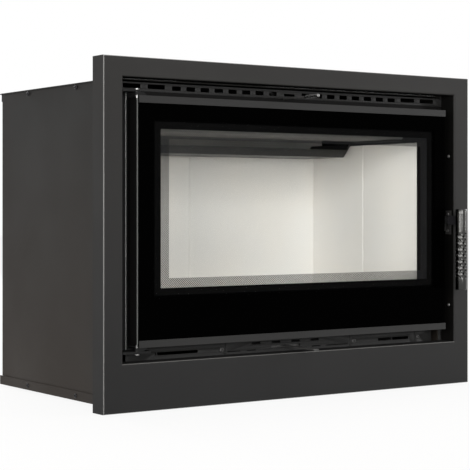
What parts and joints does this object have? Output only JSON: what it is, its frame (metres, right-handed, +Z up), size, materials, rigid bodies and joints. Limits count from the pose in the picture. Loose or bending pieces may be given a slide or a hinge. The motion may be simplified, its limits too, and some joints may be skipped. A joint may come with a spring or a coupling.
{
  "type": "fireplace insert",
  "caption": "Wood-burning fireplace insert: steel surround and casing, lined firebox, side-hung glazed door with a perforated handle, and two air controls.",
  "frame": {"origin": "centre of the base's underside, halfway between the surround's face and the rear lips", "axes": "+Z up, the surround and door face -Y, +X to the right seen from the front; the door is hinged on the -X side"},
  "size_m": [0.8, 0.524, 0.592],
  "materials": {
    "black_steel": "matte",
    "bare_steel": "satin",
    "satin_steel": "satin",
    "cast_iron": "rough",
    "vermiculite": "matte",
    "door_glass": "gloss",
    "seal_rope": "woven"
  },
  "bodies": {
    "insert_body": {"surround_frame": "black_steel", "casing_left_side": "black_steel", "casing_right_side": "black_steel", "casing_top": "black_steel", "casing_back": "black_steel", "base_pan": "black_steel", "base_skid": "black_steel", "front_plate": "black_steel", "upper_grille": "black_steel", "lower_strip_left": "black_steel", "lower_strip_right": "black_steel", "lower_strip_centre": "black_steel", "frame_clip_left": "bare_steel", "frame_clip_right": "bare_steel", "firebox_shell": "bare_steel", "ash_pit": "bare_steel", "ash_pan": "bare_steel", "lower_baffle": "bare_steel", "baffle_bracket_left": "bare_steel", "baffle_bracket_right": "bare_steel", "stand_left": "bare_steel", "stand_right": "bare_steel", "hinge_bracket_upper": "bare_steel", "hinge_bracket_lower": "bare_steel", "hinge_post": "bare_steel", "latch_keeper": "bare_steel", "air_box": "bare_steel", "secondary_air_box": "bare_steel", "rod_guide": "bare_steel", "hinge_pin_upper": "satin_steel", "hinge_pin_lower": "satin_steel", "grate": "cast_iron", "log_guard": "cast_iron", "flue_collar": "cast_iron", "side_liner_left_front": "vermiculite", "side_liner_left_rear": "vermiculite", "back_liner_left": "vermiculite", "floor_plate_left": "vermiculite", "side_liner_right_front": "vermiculite", "side_liner_right_rear": "vermiculite", "back_liner_right": "vermiculite", "floor_plate_right": "vermiculite", "upper_baffle": "vermiculite"},
    "door": {"door_frame": "black_steel", "door_back_plate": "black_steel", "door_seal": "seal_rope", "door_glass": "door_glass", "door_bottom_rail": "black_steel", "door_top_rail": "black_steel", "hinge_lug_lower": "bare_steel", "hinge_lug_upper": "bare_steel", "latch_bush": "bare_steel"},
    "latch": {"handle_tube": "satin_steel", "handle_arm": "bare_steel", "latch_tongue": "bare_steel"},
    "primary_air": {"primary_air_slide": "bare_steel"},
    "secondary_air": {"secondary_air_grip": "satin_steel", "secondary_air_rod": "bare_steel"}
  },
  "joints": [
    {"name": "door_hinge", "type": "hinge", "parent": "insert_body", "child": "door", "pos_m": [-0.336, -0.227, 0.311], "axis": [0, 0, -1], "range_deg": [0, 105]},
    {"name": "latch_turn", "type": "hinge", "parent": "door", "child": "latch", "pos_m": [0.351, -0.22, 0.31], "axis": [0, -1, 0], "range_deg": [-35, 75]},
    {"name": "primary_air_slide", "type": "slide", "parent": "insert_body", "child": "primary_air", "axis": [1, 0, 0], "range_m": [-0.025, 0.025]},
    {"name": "secondary_air_push", "type": "slide", "parent": "insert_body", "child": "secondary_air", "axis": [0, 1, 0], "range_m": [0, 0.035]}
  ]
}
